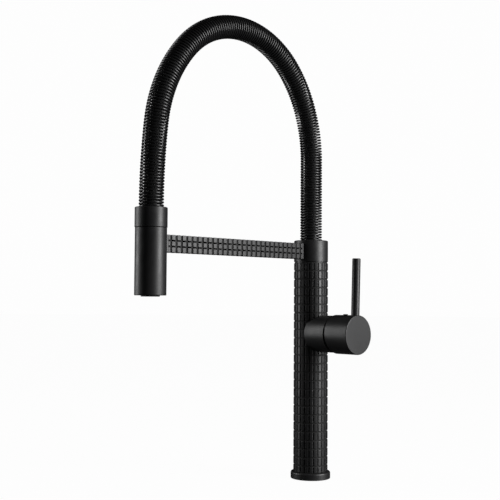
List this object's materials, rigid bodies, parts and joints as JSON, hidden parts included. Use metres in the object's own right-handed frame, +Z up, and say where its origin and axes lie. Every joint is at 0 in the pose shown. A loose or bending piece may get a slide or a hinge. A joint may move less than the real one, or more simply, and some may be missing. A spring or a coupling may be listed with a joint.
{
  "type": "pull down kitchen faucet",
  "caption": "Matte black pull down kitchen faucet: studded column with a side lever, a sprung hose arch and a cylindrical spray head docked on a studded arm.",
  "frame": {"origin": "centre of the underside of the base flange, where it sits on the deck", "axes": "+Z up along the column, the spout and spray head towards -Y, the lever side towards +X"},
  "size_m": [0.0977, 0.2778, 0.5209],
  "materials": {
    "matte_black_coat": "matte black powder coat",
    "black_spring_wire": "black coated spring wire, semi-gloss",
    "black_rubber": "moulded black rubber",
    "hose_rubber": "black braided hose",
    "brass": "machined brass",
    "copper_tube": "drawn copper tube",
    "stainless": "plain stainless steel",
    "ptfe": "black filled PTFE",
    "cartridge_plastic": "grey glass-filled plastic",
    "ceramic_white": "pale valve plastic",
    "black_plastic": "black plastic",
    "magnet": "nickel-plated magnet"
  },
  "bodies": {
    "base": {"base_flange": "matte_black_coat", "deck_gasket": "black_rubber", "column_tube": "matte_black_coat", "inlet_block": "brass", "hot_inlet_tube": "copper_tube", "cold_inlet_tube": "copper_tube", "mixed_water_tube": "copper_tube", "valve_core": "brass", "valve_seat_seals": "black_rubber", "valve_housing": "matte_black_coat", "cartridge_body": "cartridge_plastic", "cartridge_nut": "brass", "swivel_spigot": "brass", "swivel_orings": "black_rubber", "glide_ring": "ptfe"},
    "mixer": {"cartridge_rotor": "ceramic_white", "pivot_pin": "stainless"},
    "handle": {"cartridge_stem": "stainless", "handle_cap": "matte_black_coat", "lever_rod": "matte_black_coat", "handle_set_screw": "stainless", "indicator_plug": "black_plastic"},
    "spout": {"swivel_collar": "matte_black_coat", "collar_set_screw": "stainless", "support_arm": "matte_black_coat", "arm_bolt": "stainless", "dock_magnet": "magnet", "hose_nipple": "brass", "lower_ferrule": "stainless", "spout_hose": "hose_rubber", "spring": "black_spring_wire"},
    "hose_end": {"head_ring": "matte_black_coat", "hose_union": "brass", "head_ferrule": "stainless", "union_oring": "black_rubber", "union_clip": "stainless"},
    "spray_head": {"head_shell": "matte_black_coat", "dock_steel_insert": "stainless", "head_core": "cartridge_plastic", "check_valve": "ceramic_white", "nozzle_ring": "black_rubber", "aerator_insert": "stainless", "aerator_gasket": "black_rubber"}
  },
  "joints": [
    {"name": "spout_swivel", "type": "hinge", "parent": "base", "child": "spout", "pos_m": [0, 0, 0.26], "axis": [0, 0, 1], "continuous": true},
    {"name": "head_pull", "type": "slide", "parent": "spout", "child": "hose_end", "axis": [0, -0.5, -0.866], "range_m": [0, 0.12], "stiffness_N_per_m": 60, "springref_m": -0.12, "deforming": ["spring", "spout_hose"]},
    {"name": "head_turn", "type": "hinge", "parent": "hose_end", "child": "spray_head", "pos_m": [0, -0.238, 0.27], "axis": [0, 0, 1], "continuous": true},
    {"name": "temperature_turn", "type": "hinge", "parent": "base", "child": "mixer", "pos_m": [0.027, 0, 0.168], "axis": [1, 0, 0], "range_deg": [-45, 45]},
    {"name": "flow_tilt", "type": "hinge", "parent": "mixer", "child": "handle", "pos_m": [0.027, 0, 0.168], "axis": [0, 1, 0], "range_deg": [0, 20]}
  ]
}
